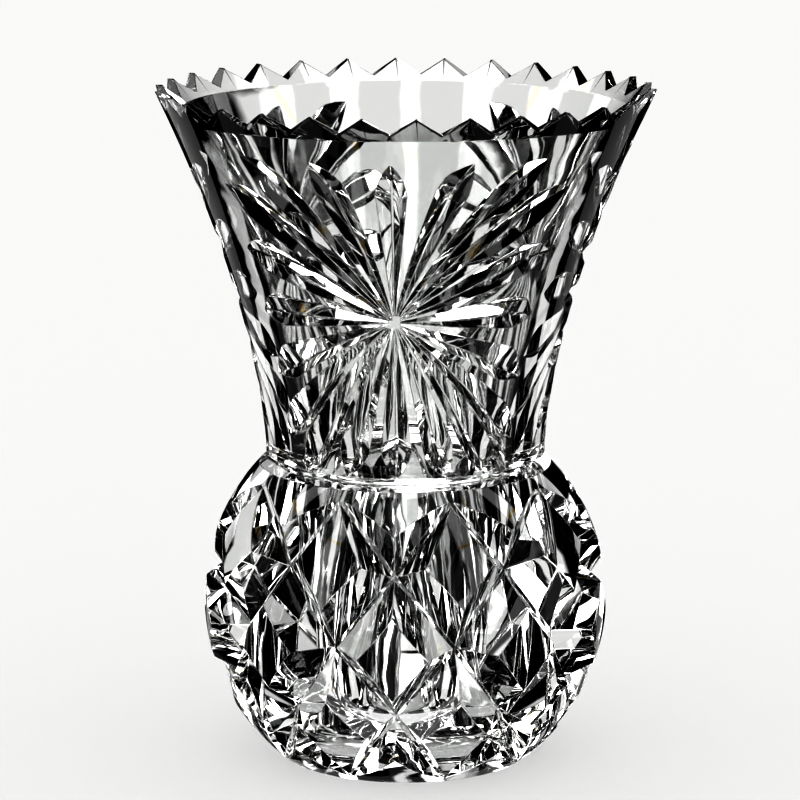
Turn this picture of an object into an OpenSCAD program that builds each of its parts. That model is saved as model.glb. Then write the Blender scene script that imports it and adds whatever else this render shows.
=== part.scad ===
// Cut crystal vase: a flared bowl bonded to a diamond-cut bulb.
// The origin is at the centre of the foot, on the surface that the vase stands on.

/* [Overall] */
// Height from the table to the tips of the rim teeth
vase_h = 150; // [130:5:200]
// Outer diameter of the rim
rim_d = 110; // [94:2:140]
// Outer diameter of the waist, where the two pieces of glass meet
waist_d = 57; // [52:1:64]
// Height of the cove that leads from the waist out to the neck
cove_h = 2.5; // [1.5:0.5:4]
// Largest diameter of the bulb
bulb_d = 90; // [78:1:110]
// Width of the ledge that the flat top of the bulb leaves round the waist
ledge_w = 4; // [2:0.5:6]
// Diameter of the flat foot
foot_d = 56; // [46:1:68]

/* [Water space] */
// Diameter of the bore through the bulb and the neck
bore_d = 45; // [36:1:48]
// Thickness of the glass under the bore
floor_t = 9; // [6:0.5:16]
// Radius of the round between the floor and the wall of the bore
floor_round = 7; // [3:0.5:12]
// Thickness of the lip below its bevel
lip_t = 3.2; // [2.4:0.2:5]
// Width of the bevel that is ground round the inside of the lip
lip_bevel_w = 1.8; // [0.4:0.1:2]
// Height of that bevel
lip_bevel_h = 4.6; // [2:0.2:6]
// How late the wall flares out: 1 is a straight cone
flare_power = 1.6; // [1.3:0.1:2]

/* [Rim teeth] */
// Number of teeth
tooth_count = 30; // [24:1:36]
// Depth of the notches between the teeth
tooth_depth = 3.6; // [2.5:0.1:4.5]

/* [Stars] */
// Number of star panels round the bowl
star_count = 3; // [2:1:4]
// Number of petals in a star
petal_count = 20; // [12:4:24]
// Height of the clear band between the petals and the notches of the rim
rim_band = 6.4; // [4:0.2:12]
// Share of its panel that a star fills from side to side
star_fill = 0.84; // [0.7:0.02:0.9]
// Depth of a petal near its outer end
petal_depth = 2.8; // [1.4:0.2:3]
// Width of a petal near its outer end
petal_w = 7; // [5:0.5:9]

/* [Diamonds] */
// Number of diamonds round the bulb
diamond_count = 9; // [8:1:10]
// Number of rows that the grooves run down, from crossing to crossing
groove_rows = 4; // [3:1:5]
// Distance of the first crossings from the waist
shoulder_gap = 2.5; // [2:0.5:4]
// Distance of the last crossings from the foot
foot_gap = 1.5; // [1:0.5:3]
// Depth of the grooves between the diamonds
groove_depth = 7.4; // [5:0.2:8]
// Depth that is left of the grooves where they run out, on the shoulder and at the foot
end_depth = 0.6; // [0.4:0.1:2]
// Angle between the two sides of a groove
groove_angle = 78; // [70:2:90]

/* [Hidden] */

glass_colour = [0.86, 0.92, 0.95];
turn = 360;
overrun = 1;         // how far a cutter reaches past what it cuts
second_lift = 0.3;   // the grooves that cross the first set are this much shallower

rim_r = rim_d / 2;
waist_r = waist_d / 2;
neck_r = waist_r + cove_h;      // the cove is a quarter round
bulb_r = bulb_d / 2;
foot_r = foot_d / 2;
bore_r = bore_d / 2;

// Heights: of a ball's centre over a flat cut of radius r, of the bulb, of the waist and of the neck
function over_cut(r) = sqrt(bulb_r * bulb_r - r * r);
bulb_z = over_cut(foot_r);
waist_z = bulb_z + over_cut(waist_r + ledge_w);
neck_z = waist_z + cove_h;

// The stars fill the height from the neck to the clear band
star_top = vase_h - tooth_depth - rim_band;
star_z = (star_top + neck_z) / 2;
star_reach_z = (star_top - neck_z) / 2;
star_reach_a = star_fill * turn / star_count / 2;
row_h = (waist_z - shoulder_gap - foot_gap) / groove_rows;

profile_steps = 12;
round_steps = 6;

// Share of the way up the flare, from 0 at the neck to 1 at the rim
function flare_at(z) = pow(max(0, z - neck_z) / (vase_h - neck_z), flare_power);
function outer_r(z) = neck_r + (rim_r - neck_r) * flare_at(z);
function inner_r(z) = bore_r + (rim_r - lip_t - bore_r) * flare_at(z);
function flare_z(i) = neck_z + (vase_h - neck_z) * i / profile_steps;

// Radius of the bulb before it is cut
function blank_r(z) = over_cut(z - bulb_z);

// A point at an angle round the axis, where 0 faces -Y
function around(r, a, z) = [r * sin(a), -r * cos(a), z];

function unit(v) = v / norm(v);

// A closed bar through a list of three-point sections
module bar(sections) {
    last = len(sections) - 1;
    points = [for (section = sections) each section];
    sides = [for (i = [0 : last - 1], k = [0 : 2]) let (n = (k + 1) % 3)
        each [[3 * i + k, 3 * i + 3 + n, 3 * i + n], [3 * i + k, 3 * i + 3 + k, 3 * i + 3 + n]]];
    ends = [[0, 1, 2], [3 * last + 2, 3 * last + 1, 3 * last]];
    polyhedron(points, concat(sides, ends));
}

// The flared shell before it is cut
module bowl_blank() {
    cove = [for (i = [0 : round_steps]) let (a = 90 * i / round_steps)
        [waist_r + cove_h * (1 - cos(a)), waist_z + cove_h * sin(a)]];
    outside = [for (i = [1 : profile_steps]) [outer_r(flare_z(i)), flare_z(i)]];
    bevel_z = vase_h - lip_bevel_h;
    bevel = [[inner_r(vase_h) + lip_bevel_w, vase_h], [inner_r(bevel_z), bevel_z]];
    inside = [for (i = [profile_steps : -1 : 0]) let (z = flare_z(i)) if (z < bevel_z) [inner_r(z), z]];
    rotate_extrude($fn = 96)
        polygon(concat(cove, outside, bevel, inside, [[bore_r, waist_z]]));
}

// One V notch, cut right across the lip
module rim_notch() {
    half_w = rim_r * tan(turn / tooth_count / 2);
    rise = overrun / tooth_depth;
    translate([0, 0, vase_h - tooth_depth])
        rotate([90, 0, 0])
            linear_extrude(rim_r + overrun)
                polygon([[0, 0], [half_w * (1 + rise), tooth_depth + overrun],
                         [-half_w * (1 + rise), tooth_depth + overrun]]);
}

// The tips of the petals are spaced evenly round the edge of the panel, whose sides run from -1 to 1.
// tip_x and tip_z give a tip's place as shares of the panel's half width and half height.
panel_side = 2;
full_edge = 4 * panel_side;
function held(v) = max(-1, min(1, v));
function wave(p) =
    p < full_edge / 2 ? panel_side - abs(p - panel_side) : abs(p - 3 * panel_side) - panel_side;
function tip_x(p) = held(wave(p % full_edge));
function tip_z(p) = tip_x(p + panel_side);
function petal_angle(p, s) = star_reach_a * tip_x(p) * s;
function petal_z(p, s) = star_z + star_reach_z * tip_z(p) * s;

// How wide and deep the petal is, from 0 at the centre to 1 where it is fullest and 0 at its round tip
fullest = 0.8;
stretch_max = 26;    // how many degrees round the bowl a straight stretch of a petal may span
stretches = ceil(star_reach_a / stretch_max);
petal_stations = [0.12, each [for (i = [1 : stretches]) fullest * i / stretches], 0.93, 0.99];
function petal_swell(s) = s < fullest ? s / fullest : sqrt(1 - pow((s - fullest) / (1 - fullest), 2));

// Three points across a petal: its two edges, which stand clear of the bulge of the wall, and its bottom
step = 0.01;
petal_rise = 3 * overrun;
function petal_section(p, s) =
    let (
        ang = petal_angle(p, s),
        z = petal_z(p, s),
        here = around(outer_r(z), ang, z),
        next_z = petal_z(p, s + step),
        ahead = around(outer_r(next_z), petal_angle(p, s + step), next_z),
        out = around(1, ang, 0),
        side = unit(cross(ahead - here, out)),
        depth = petal_depth * petal_swell(s),
        spread = petal_w / petal_depth / 2 * (depth + petal_rise)
    )
    [here + out * petal_rise - side * spread, here + out * petal_rise + side * spread, here - out * depth];

module petal(p) {
    bar([for (s = petal_stations) petal_section(p, s)]);
}

module star() {
    for (i = [0 : petal_count - 1])
        petal(full_edge * i / petal_count);
}

module flared_bowl() {
    color(glass_colour)
        difference() {
            bowl_blank();
            for (i = [0 : tooth_count - 1])
                rotate([0, 0, turn * i / tooth_count])
                    rim_notch();
            for (i = [0 : star_count - 1])
                rotate([0, 0, turn * i / star_count])
                    star();
        }
}

// Each groove winds down the bulb from the shoulder to the foot, a half step round for every row.
// hand is 1 for the grooves that wind one way and -1 for those that cross them.
function row_z(row) = waist_z - shoulder_gap - row_h * row;
function row_depth(row) = row == 0 || row == groove_rows ? end_depth : groove_depth;
function groove_r(row, hand) = blank_r(row_z(row)) - row_depth(row) + (hand > 0 ? 0 : second_lift);
function groove_a(row, hand) = hand * row * turn / diamond_count / 2;
function groove_point(row, hand) = around(groove_r(row, hand), groove_a(row, hand), row_z(row));

// Three points across a groove: its bottom, and its two edges, which lie outside the glass
function groove_section(row, hand) =
    let (
        bottom = groove_point(row, hand),
        above = groove_point(max(row - 1, 0), hand),
        below = groove_point(min(row + 1, groove_rows), hand),
        out = unit(bottom - [0, 0, bulb_z]),
        side = unit(cross(below - above, out)),
        rise = 2 * groove_depth,
        spread = rise * tan(groove_angle / 2)
    )
    [bottom, bottom + out * rise - side * spread, bottom + out * rise + side * spread];

module groove(hand) {
    bar([for (row = [0 : groove_rows]) groove_section(row, hand)]);
}

module grooves() {
    for (i = [0 : diamond_count - 1], hand = [-1, 1])
        rotate([0, 0, turn * (i + 0.5) / diamond_count])
            groove(hand);
}

// The water space inside the bulb
module bore() {
    corner = [for (i = [0 : round_steps]) let (a = 90 * i / round_steps)
        [bore_r - floor_round + floor_round * sin(a), floor_t + floor_round * (1 - cos(a))]];
    rotate_extrude($fn = 96)
        polygon(concat([[0, floor_t]], corner, [[bore_r, waist_z + overrun], [0, waist_z + overrun]]));
}

module bulb_base() {
    color(glass_colour)
        difference() {
            intersection() {
                translate([0, 0, bulb_z])
                    sphere(r = bulb_r, $fn = 96);
                cylinder(h = waist_z, r = bulb_r + overrun, $fn = 96);
            }
            grooves();
            bore();
        }
}

flared_bowl();
bulb_base();
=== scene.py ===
"""Cut crystal vase: clear lead crystal on a pale floor.

Lengths are in metres. Angles are in degrees round the axis, where 0 faces -Y.
"""

from math import cos, pi, radians, sin, sqrt, tan

import bmesh
import bpy
import numpy as np
from mathutils import Matrix, Vector


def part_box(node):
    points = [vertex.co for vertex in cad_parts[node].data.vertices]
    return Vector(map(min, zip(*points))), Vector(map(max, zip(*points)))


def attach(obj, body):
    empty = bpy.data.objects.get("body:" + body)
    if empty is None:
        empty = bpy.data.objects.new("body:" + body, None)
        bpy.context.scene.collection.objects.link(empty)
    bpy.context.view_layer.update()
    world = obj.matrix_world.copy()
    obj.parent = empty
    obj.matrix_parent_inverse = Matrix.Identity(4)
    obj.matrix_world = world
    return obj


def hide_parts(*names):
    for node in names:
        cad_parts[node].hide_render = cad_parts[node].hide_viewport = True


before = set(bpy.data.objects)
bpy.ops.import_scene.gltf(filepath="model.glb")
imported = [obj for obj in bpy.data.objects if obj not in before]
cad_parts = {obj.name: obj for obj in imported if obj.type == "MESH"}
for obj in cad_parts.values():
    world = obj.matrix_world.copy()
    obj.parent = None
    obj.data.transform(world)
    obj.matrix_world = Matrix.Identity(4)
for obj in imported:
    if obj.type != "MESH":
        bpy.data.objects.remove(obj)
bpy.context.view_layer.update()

MM = 0.001
TURN = 360.0

# ---------------------------------------------------------------- sizes
bowl_low, bowl_high = (Vector(p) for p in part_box("flared_bowl"))

VASE_H = bowl_high.z
RIM_R = bowl_high.x
WAIST_Z = bowl_low.z

WAIST_R = 28.5 * MM
COVE = 2.5 * MM  # the quarter round from the waist out to the neck
NECK_R = WAIST_R + COVE
NECK_Z = WAIST_Z + COVE
BORE_R = 22.5 * MM
LIP = 3.2 * MM
LIP_BEVEL = 1.8 * MM
LIP_BEVEL_H = 4.6 * MM
FLOOR_Z = 9 * MM  # height of the floor of the water space
FLOOR_ROUND = 7 * MM
FLARE_POWER = 1.6  # 1 would be a straight cone
BULB_R = 45 * MM
FOOT_R = 28 * MM
BULB_Z = sqrt(BULB_R**2 - FOOT_R**2)  # height of the bulb's centre

TEETH = 30
TOOTH = 3.6 * MM

STARS = 3
PETALS = 20
RIM_BAND = 6.4 * MM  # clear glass between the petals and the teeth
STAR_FILL = 0.84  # share of its panel that a star fills from side to side
PETAL_DEPTH = 2.8 * MM
PETAL_W = 7 * MM
PETAL_STRIP = 0.6 * MM  # width of the flat that the wheel leaves at the bottom of a petal

DIAMONDS = 9
ROWS = 4  # rows that the grooves run down, from crossing to crossing
SHOULDER_GAP = 2.5 * MM
FOOT_GAP = 1.5 * MM
GROOVE = 7.4 * MM
GROOVE_END = 0.6 * MM  # depth of the grooves where they run out
GROOVE_ANGLE = 78.0
GROOVE_STRIP = 0.9 * MM  # width of the flat at the bottom of a groove

SEAM = 0.02 * MM  # the bonded faces stay this far apart, so that the two surfaces are never in one place

# ---------------------------------------------------------------- fineness of the meshes
AROUND = 360  # faces round a revolved piece
BOWL_RINGS = 56
BULB_RINGS = 48
COVE_STEPS = 8
FLOOR_STEPS = 10


def around(r, a, z):
    """A point at angle a round the axis, where 0 faces -Y."""
    return np.array((r * sin(radians(a)), -r * cos(radians(a)), z))


def unit(v):
    return v / np.linalg.norm(v)


# ---------------------------------------------------------------- profiles
BEVEL_Z = VASE_H - LIP_BEVEL_H


def flare(z):
    """Share of the way out that the flare has come, from 0 at the neck to 1 at the rim."""
    return max(0.0, (z - NECK_Z) / (VASE_H - NECK_Z)) ** FLARE_POWER


def outer_r(z):
    return NECK_R + (RIM_R - NECK_R) * flare(z)


def bevel_at(z):
    """How far the bevel inside the lip takes the inner wall outward."""
    return LIP_BEVEL * max(0.0, z - BEVEL_Z) / LIP_BEVEL_H


def inner_r(z):
    return BORE_R + (RIM_R - LIP - BORE_R) * flare(z) + bevel_at(z)


def blank_r(z):
    """Radius of the bulb before it is cut."""
    return sqrt(BULB_R**2 - (z - BULB_Z) ** 2)


def arc(cr, cz, r, start, end, steps):
    """Points of an arc about (cr, cz), from start to end degrees, where 0 points away from the axis."""
    turns = [radians(start + (end - start) * i / steps) for i in range(steps + 1)]
    return [(cr + r * cos(turn), cz + r * sin(turn)) for turn in turns]


def bowl_profile():
    """Outline of the bowl before it is cut: up the outside, over the lip and down the inside."""
    heights = [NECK_Z + (VASE_H - NECK_Z) * i / BOWL_RINGS for i in range(BOWL_RINGS + 1)]
    inner_heights = [z for z in heights if not BEVEL_Z < z < VASE_H] + [BEVEL_Z]
    cove = arc(NECK_R, WAIST_Z, COVE, 180, 90, COVE_STEPS)
    outside = [(outer_r(z), z) for z in heights[1:]]
    inside = [(inner_r(z), z) for z in sorted(inner_heights, reverse=True)]
    low = WAIST_Z + SEAM
    points = [(r, max(z, low)) for r, z in cove + outside + inside]
    return points + [(BORE_R, low)]


def bulb_profile():
    """Outline of the bulb before it is cut: the foot, up the outside, over the waist and down the bore."""
    low = -np.degrees(np.arcsin(BULB_Z / BULB_R))
    high = np.degrees(np.arcsin((WAIST_Z - BULB_Z) / BULB_R))
    skin = arc(0, BULB_Z, BULB_R, low, high, BULB_RINGS)
    floor = arc(BORE_R - FLOOR_ROUND, FLOOR_Z + FLOOR_ROUND, FLOOR_ROUND, 270, 360, FLOOR_STEPS)
    return [(0.0, 0.0)] + skin + [(BORE_R, WAIST_Z)] + floor[::-1] + [(0.0, FLOOR_Z)]


# ---------------------------------------------------------------- meshes
def mesh_object(name, points, faces):
    mesh = bpy.data.meshes.new(name)
    mesh.from_pydata([tuple(p) for p in points], [], faces)
    mesh.validate()
    obj = bpy.data.objects.new(name, mesh)
    bpy.context.scene.collection.objects.link(obj)
    return obj


def revolve(name, profile, closed):
    """Turns a profile of (r, z) round the axis. A point on the axis becomes one vertex."""
    points, rows = [], []
    for r, z in profile:
        if r == 0:
            rows.append([len(points)] * AROUND)
            points.append((0, 0, z))
        else:
            rows.append([len(points) + i for i in range(AROUND)])
            points.extend(around(r, TURN * (i + 0.5) / AROUND, z) for i in range(AROUND))
    pairs = list(zip(rows, rows[1:])) + ([(rows[-1], rows[0])] if closed else [])
    faces = []
    for a, b in pairs:
        for i in range(AROUND):
            n = (i + 1) % AROUND
            faces.append(list(dict.fromkeys([a[i], a[n], b[n], b[i]])))
    return mesh_object(name, points, faces)


def bars(name, lists):
    """One object of closed bars, each through a list of sections with the same number of points."""
    points, faces = [], []
    for sections in lists:
        base = len(points)
        last = len(sections) - 1
        size = len(sections[0])
        for section in sections:
            points.extend(section)
        for i in range(last):
            for k in range(size):
                n = (k + 1) % size
                a, b = base + size * i, base + size * (i + 1)
                faces.append([a + k, a + n, b + n, b + k])
        faces.append([base + k for k in reversed(range(size))])
        faces.append([base + size * last + k for k in range(size)])
    obj = mesh_object(name, points, faces)
    outward(obj)
    return obj


def blunt(bottom, left, right, width):
    """A V section with its bottom taken off, which leaves a strip of the given width."""
    to_left, to_right = unit(left - bottom), unit(right - bottom)
    along = width / np.linalg.norm(to_left - to_right)
    return [left, bottom + to_left * along, bottom + to_right * along, right]


def outward(obj):
    """Turns every face of a closed mesh outward."""
    bm = bmesh.new()
    bm.from_mesh(obj.data)
    bmesh.ops.recalc_face_normals(bm, faces=bm.faces)
    bm.to_mesh(obj.data)
    bm.free()


def cut(obj, cutter):
    """Takes cutter out of obj and deletes the cutter. The cutter's own bars may overlap."""
    modifier = obj.modifiers.new("cut", "BOOLEAN")
    modifier.operation = "DIFFERENCE"
    modifier.solver = "MANIFOLD"
    modifier.object = cutter
    apply_modifiers(obj)
    bpy.data.objects.remove(cutter, do_unlink=True)


def apply_modifiers(obj):
    graph = bpy.context.evaluated_depsgraph_get()
    mesh = bpy.data.meshes.new_from_object(obj.evaluated_get(graph))
    obj.modifiers.clear()
    old = obj.data
    obj.data = mesh
    bpy.data.meshes.remove(old)


# ---------------------------------------------------------------- rim
NOTCH_OVER = 1.5  # a notch's cutter is this much larger than the notch, and so ends above the rim
NOTCH_FROM = RIM_R - 14 * MM
NOTCH_TO = RIM_R + 2 * MM


def rim_notches():
    """V notches ground across the lip, as one cutter."""
    half = RIM_R * tan(pi / TEETH)
    up = np.array((0, 0, 1))
    lists = []
    for i in range(TEETH):
        out = around(1, TURN * i / TEETH, 0)
        side = around(1, TURN * i / TEETH + 90, 0)
        sections = []
        for r in (NOTCH_FROM, NOTCH_TO):
            low = out * r + up * (VASE_H - TOOTH)
            top = low + up * TOOTH * NOTCH_OVER
            sections.append([low, top - side * half * NOTCH_OVER, top + side * half * NOTCH_OVER])
        lists.append(sections)
    return bars("notches", lists)


# ---------------------------------------------------------------- stars
STAR_TOP = VASE_H - TOOTH - RIM_BAND
STAR_Z = (STAR_TOP + NECK_Z) / 2
STAR_H = (STAR_TOP - NECK_Z) / 2
STAR_A = STAR_FILL * TURN / STARS / 2
FULLEST = 0.8  # how far along its length a petal is widest and deepest
PETAL_STATIONS = [0.04, 0.12, 0.22, 0.32, 0.42, 0.52, 0.61, 0.7, 0.76, FULLEST, 0.84, 0.9, 0.96, 0.995]
PETAL_STEP = 0.01  # how far ahead a petal looks for its direction
PETAL_LIFT = 1 * MM  # how far a petal's cutter stands out of the glass
PANEL_SIDE = 2  # the panel's sides run from -1 to 1
PANEL_EDGE = 4 * PANEL_SIDE


def wave(p):
    """A place across the panel, from -1 to 1, for a place p along its edge."""
    p %= PANEL_EDGE
    if p < PANEL_EDGE / 2:
        return max(-1.0, min(1.0, PANEL_SIDE - abs(p - PANEL_SIDE)))
    return max(-1.0, min(1.0, abs(p - 3 * PANEL_SIDE) - PANEL_SIDE))


def petal_at(i, s):
    """Angle and height a share s along petal i. The tips are spaced evenly round the panel's edge."""
    p = PANEL_EDGE * i / PETALS
    return STAR_A * wave(p) * s, STAR_Z + STAR_H * wave(p + PANEL_SIDE) * s


def petal_swell(s):
    """Share of its full width and depth that a petal has a share s along its length."""
    return s / FULLEST if s < FULLEST else 1 - ((s - FULLEST) / (1 - FULLEST)) ** 2


def petal_sections(i, turn):
    sections = []
    for s in PETAL_STATIONS:
        here_a, here_z = petal_at(i, s)
        ahead_a, ahead_z = petal_at(i, s + PETAL_STEP)
        here = around(outer_r(here_z), here_a + turn, here_z)
        ahead = around(outer_r(ahead_z), ahead_a + turn, ahead_z)
        out = around(1, here_a + turn, 0)
        side = unit(np.cross(ahead - here, out))
        depth = PETAL_DEPTH * petal_swell(s)
        spread = PETAL_W / PETAL_DEPTH / 2 * (depth + PETAL_LIFT)
        edge = here + out * PETAL_LIFT
        strip = PETAL_STRIP * petal_swell(s)
        sections.append(blunt(here - out * depth, edge - side * spread, edge + side * spread, strip))
    return sections


def star_cutters():
    lists = []
    for star in range(STARS):
        for i in range(PETALS):
            lists.append(petal_sections(i, TURN * star / STARS))
    return lists


# ---------------------------------------------------------------- diamonds
ROW_H = (WAIST_Z - SHOULDER_GAP - FOOT_GAP) / ROWS
GROOVE_REACH = 2.4 * GROOVE  # length of a groove's sides, which run out past the glass
BULB_CENTRE = np.array((0, 0, BULB_Z))


def crossing(row, hand, start):
    """Bottom of a groove where it crosses its neighbours. hand is 1 or -1, for the way it winds."""
    z = WAIST_Z - SHOULDER_GAP - ROW_H * row
    depth = GROOVE_END if row in (0, ROWS) else GROOVE
    return around(blank_r(z) - depth, start + hand * row * TURN / DIAMONDS / 2, z)


def groove_walls(a, b):
    """Normals of the two sides of a groove between two crossings."""
    half = radians(GROOVE_ANGLE / 2)
    along = unit(b - a)
    out = (a + b) / 2 - BULB_CENTRE
    out = unit(out - along * np.dot(out, along))
    side = np.cross(along, out)
    return [unit(np.cross(along, out * cos(half) + side * sin(half) * k)) for k in (-1, 1)]


def groove_sections(hand, start):
    """A mitre cut down the bulb. Between two crossings each side of it is one flat face."""
    nodes = [crossing(row, hand, start) for row in range(ROWS + 1)]
    walls = [groove_walls(a, b) for a, b in zip(nodes, nodes[1:])]
    sections = []
    for i, node in enumerate(nodes):
        edges = []
        for k in (0, 1):
            before, after = walls[max(i - 1, 0)][k], walls[min(i, ROWS - 1)][k]
            if i in (0, ROWS):
                after = unit(nodes[min(i + 1, ROWS)] - nodes[max(i - 1, 0)])
            edge = unit(np.cross(before, after))
            if np.dot(edge, node - BULB_CENTRE) < 0:
                edge = -edge
            edges.append(node + edge * GROOVE_REACH)
        sections.append(blunt(node, *edges, GROOVE_STRIP))
    return sections


def groove_cutters(hand):
    return [groove_sections(hand, TURN * (i + 0.5) / DIAMONDS) for i in range(DIAMONDS)]


# ---------------------------------------------------------------- shading
SHARP = radians(14)  # edges that turn more than this stay sharp
SAME_FACE = cos(radians(4))  # a face that turns further from the blank's surface than this is a cut
ON_SURFACE = 0.02 * MM
SLOPE_STEP = 0.01 * MM
TINY = 1e-7


def read(items, field, width, kind=float):
    """One field of a mesh's vertices, corners or faces, as an array with a row for each."""
    values = np.empty(len(items) * width, dtype=kind)
    items.foreach_get(field, values)
    return values.reshape(-1, width) if width > 1 else values


def polish(obj, surfaces):
    """Sharp edges between the cuts, and true normals on what is left of the revolved blank."""
    mesh = obj.data
    mesh.shade_smooth()
    mesh.set_sharp_from_angle(angle=SHARP)
    normals = read(mesh.corner_normals, "vector", 3)
    points = read(mesh.vertices, "co", 3)
    corner = read(mesh.loops, "vertex_index", 1, int)
    sizes = read(mesh.polygons, "loop_total", 1, int)
    flat = np.repeat(read(mesh.polygons, "normal", 3), sizes, axis=0)
    true, on = blank_normals(surfaces, points)
    near = on[corner] & ((true[corner] * flat).sum(1) > SAME_FACE)
    face = np.repeat(np.arange(len(sizes)), sizes)
    pick = (np.bincount(face, weights=near) == sizes)[face]
    normals[pick] = true[corner][pick]
    mesh.normals_split_custom_set(normals)


def surface_normals(radius, low, high, sign, points):
    """Normals of the surface r = radius(z) from low to high, and which of the points lie on it."""
    r = np.hypot(points[:, 0], points[:, 1])
    z = points[:, 2]
    held = np.clip(z, low, high)
    above = np.minimum(held + SLOPE_STEP, high)
    below = np.maximum(held - SLOPE_STEP, low)
    here = np.array([radius(v) for v in held])
    slope = np.array([(radius(b) - radius(a)) / (b - a) for a, b in zip(below, above)])
    away = np.maximum(r, TINY)
    normal = np.stack([points[:, 0] / away, points[:, 1] / away, -slope], 1)
    normal *= sign / np.linalg.norm(normal, axis=1)[:, None]
    return normal, (abs(r - here) < ON_SURFACE) & (abs(z - held) < TINY)


def blank_normals(surfaces, points):
    """Normals of the revolved blank at the points, and which of the points lie on it."""
    true = np.zeros_like(points)
    on = np.zeros(len(points), dtype=bool)
    for radius, low, high, sign in surfaces:
        normal, hit = surface_normals(radius, low, high, sign, points)
        true[hit & ~on] = normal[hit & ~on]
        on |= hit
    return true, on


# ---------------------------------------------------------------- pieces
BEVEL_CLEAR = 0.1 * MM  # the inner wall's own normals stop this far below the bevel
STAR_GROUPS = 3  # the petals are cut in three rounds, so that neighbours are never in one cutter


def place(obj, material, node):
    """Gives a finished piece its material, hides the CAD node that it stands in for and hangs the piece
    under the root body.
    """
    obj.data.materials.clear()
    obj.data.materials.append(material)
    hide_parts(node)
    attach(obj, "root")


def make_bowl(material):
    bowl = revolve("flared_bowl_glass", bowl_profile(), True)
    outward(bowl)
    cut(bowl, rim_notches())
    for group in range(STAR_GROUPS):
        cut(bowl, bars("petals", star_cutters()[group::STAR_GROUPS]))
    polish(bowl, [(outer_r, NECK_Z, VASE_H, 1), (inner_r, NECK_Z, BEVEL_Z - BEVEL_CLEAR, -1)])
    place(bowl, material, "flared_bowl")


def make_bulb(material):
    bulb = revolve("bulb_base_glass", bulb_profile(), False)
    outward(bulb)
    for hand in (-1, 1):
        cut(bulb, bars("grooves", groove_cutters(hand)))
    polish(bulb, [(blank_r, 0, WAIST_Z, 1), (lambda z: BORE_R, FLOOR_Z + FLOOR_ROUND, WAIST_Z, -1)])
    place(bulb, material, "bulb_base")


# ---------------------------------------------------------------- materials
CRYSTAL = (0.97, 0.975, 0.97, 1)
CRYSTAL_IOR = 1.545
EDGE_ROUND = 0.35 * MM
EDGE_SAMPLES = 4
WAVE_SCALE = 70.0
WAVE_DETAIL = 1.5
WAVE = 0.15 * MM


def crystal(name):
    """Polished lead crystal: its edges are slightly rounded and its faces slightly wavy from the wheel."""
    material = bpy.data.materials.new(name)
    material.use_nodes = True
    nodes, links = material.node_tree.nodes, material.node_tree.links
    shader = nodes["Principled BSDF"]
    shader.inputs["Base Color"].default_value = CRYSTAL
    shader.inputs["Roughness"].default_value = 0.0
    shader.inputs["IOR"].default_value = CRYSTAL_IOR
    shader.inputs["Transmission Weight"].default_value = 1.0
    edges = nodes.new("ShaderNodeBevel")
    edges.samples = EDGE_SAMPLES
    edges.inputs["Radius"].default_value = EDGE_ROUND
    where = nodes.new("ShaderNodeTexCoord")
    waves = nodes.new("ShaderNodeTexNoise")
    waves.inputs["Scale"].default_value = WAVE_SCALE
    waves.inputs["Detail"].default_value = WAVE_DETAIL
    bump = nodes.new("ShaderNodeBump")
    bump.inputs["Strength"].default_value = 1.0
    bump.inputs["Distance"].default_value = WAVE
    links.new(where.outputs["Object"], waves.inputs["Vector"])
    links.new(waves.outputs["Fac"], bump.inputs["Height"])
    links.new(edges.outputs["Normal"], bump.inputs["Normal"])
    links.new(bump.outputs["Normal"], shader.inputs["Normal"])
    return material


# ---------------------------------------------------------------- stage
def matt(name, shade, roughness):
    """A grey without any gloss, from black at shade 0 to white at 1."""
    material = bpy.data.materials.new(name)
    material.use_nodes = True
    shader = material.node_tree.nodes["Principled BSDF"]
    shader.inputs["Base Color"].default_value = (shade, shade, shade, 1)
    shader.inputs["Roughness"].default_value = roughness
    shader.inputs["Specular IOR Level"].default_value = 0.0
    return material


FLOOR_SIZE = 2.2
FLOOR_EDGES = 96
FLOOR_DROP = 0.05 * MM  # the floor lies this far under the foot, so that the two never share a place
FLOOR_ROUGHNESS = 0.8
FLOOR_SHADE = 0.06
FLOOR_GLOW = 0.41
LIGHT = 2.7
GLINT = (2.4, 1.8, 0.6, 1)  # a narrow warm band in the light, which the cuts pick up as small yellow glints
GLINT_FROM = 0.60
GLINT_TO = 0.63
GLINT_FADE = 0.01
HORIZON_FADE = 0.01
BACKDROP = FLOOR_SHADE * LIGHT + FLOOR_GLOW  # as bright as the floor

WAYS = 8  # the cards stand in eight columns round the vase
# Each row of a column's corners: distance from the axis, height, and half the gap to the next column
FLAG_ROWS = [
    (0.03, 0.0005, 2.5),
    (0.24, 0.0005, 7.0),
    (0.33, 0.0005, 10.5),
    (0.33, 0.085, 13.5),
    (0.33, 0.11, 4.5),
    (0.33, 0.40, 5.0),
    (0.20, 0.56, 5.0),
]
FLAG_FADE = 1.5  # degrees over which the edge of a card fades out


def make_floor():
    points = [around(FLOOR_SIZE, TURN * i / FLOOR_EDGES, -FLOOR_DROP) for i in range(FLOOR_EDGES)]
    floor = mesh_object("floor", points, [list(range(FLOOR_EDGES))])
    pale = matt("floor", FLOOR_SHADE, FLOOR_ROUGHNESS)
    glow = pale.node_tree.nodes["Principled BSDF"]
    glow.inputs["Emission Color"].default_value = (1, 1, 1, 1)
    glow.inputs["Emission Strength"].default_value = FLOOR_GLOW
    floor.data.materials.append(pale)


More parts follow.
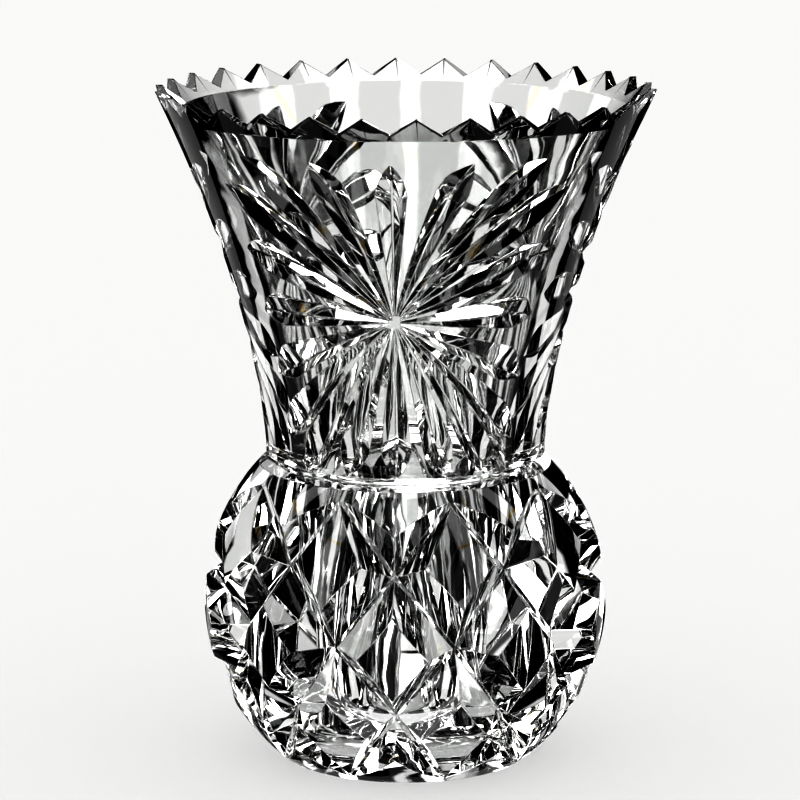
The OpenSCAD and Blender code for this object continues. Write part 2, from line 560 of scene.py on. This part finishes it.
def make_flags():
    """Black cards round the vase, out of the camera's sight, that the cut glass picks up as its darks."""
    points, faces, shades = [], [], []
    for way in range(WAYS):
        base = len(points)
        for r, z, gap in FLAG_ROWS:
            start, end = TURN * way / WAYS + gap, TURN * (way + 1) / WAYS - gap
            across = [start, start + FLAG_FADE, (start + end) / 2, end - FLAG_FADE, end]
            points.extend(around(r, a, z) for a in across)
            shades.extend(0 if a in (start, end) else 1 for a in across)
        width = len(across)
        for row in range(len(FLAG_ROWS) - 1):
            for i in range(width - 1):
                c = base + width * row + i
                faces.append([c, c + 1, c + width + 1, c + width])
    flags = mesh_object("flags", points, faces)
    flags.data.attributes.new("shade", "FLOAT", "POINT").data.foreach_set("value", shades)
    material = matt("flags", 0.0, 1.0)
    nodes, links = material.node_tree.nodes, material.node_tree.links
    shade = nodes.new("ShaderNodeAttribute")
    shade.attribute_name = "shade"
    links.new(shade.outputs["Fac"], nodes["Principled BSDF"].inputs["Alpha"])
    flags.data.materials.append(material)
    flags.visible_camera = False
    flags.visible_diffuse = False
    flags.visible_shadow = False


def make_light():
    """White all round above the horizon and black below it. The camera itself sees one even backdrop."""
    world = bpy.data.worlds.new("studio")
    bpy.context.scene.world = world
    world.use_nodes = True
    nodes, links = world.node_tree.nodes, world.node_tree.links
    background = nodes["Background"]
    where = nodes.new("ShaderNodeTexCoord")
    split = nodes.new("ShaderNodeSeparateXYZ")
    fade = nodes.new("ShaderNodeValToRGB")
    steps = fade.color_ramp.elements
    white = (LIGHT, LIGHT, LIGHT, 1)
    steps[0].position, steps[0].color = 0, (0, 0, 0, 1)
    steps[1].position, steps[1].color = HORIZON_FADE, white
    steps.new(GLINT_FROM).color = white
    steps.new(GLINT_FROM + GLINT_FADE).color = GLINT
    steps.new(GLINT_TO - GLINT_FADE).color = GLINT
    steps.new(GLINT_TO).color = white
    path = nodes.new("ShaderNodeLightPath")
    pick = nodes.new("ShaderNodeMix")
    pick.data_type = "RGBA"
    pick.inputs["B"].default_value = (BACKDROP, BACKDROP, BACKDROP, 1)
    links.new(where.outputs["Generated"], split.inputs[0])
    links.new(split.outputs["Z"], fade.inputs["Fac"])
    links.new(path.outputs["Is Camera Ray"], pick.inputs["Factor"])
    links.new(fade.outputs["Color"], pick.inputs["A"])
    links.new(pick.outputs["Result"], background.inputs["Color"])


def make_stage():
    make_floor()
    make_flags()
    make_light()


# ---------------------------------------------------------------- camera
CAMERA_TURN = 3.7
CAMERA_BACK = 0.868
CAMERA_UP = 0.2582
CAMERA_SIDE = -0.0012
CAMERA_TILT = 11.6
LENS = 179.3
SENSOR = 36
CLIP_START = 0.01


def make_camera():
    data = bpy.data.cameras.new("camera")
    data.lens = LENS
    data.sensor_width = SENSOR
    data.clip_start = CLIP_START
    camera = bpy.data.objects.new("camera", data)
    bpy.context.scene.collection.objects.link(camera)
    turn = Matrix.Rotation(radians(CAMERA_TURN), 4, "Z")
    tilt = Matrix.Rotation(radians(90 - CAMERA_TILT), 4, "X")
    camera.matrix_world = turn @ Matrix.Translation((CAMERA_SIDE, -CAMERA_BACK, CAMERA_UP)) @ tilt
    bpy.context.scene.camera = camera


# ---------------------------------------------------------------- scene and picture
LOOK = "Very High Contrast"
GAMMA = 0.68
BOUNCES = 32

make_camera()
make_stage()
glass = crystal("crystal")
make_bowl(glass)
make_bulb(glass)

scene = bpy.context.scene
scene.view_settings.view_transform = "Standard"
scene.view_settings.look = LOOK
scene.view_settings.gamma = GAMMA
scene.cycles.max_bounces = BOUNCES
scene.cycles.transmission_bounces = BOUNCES
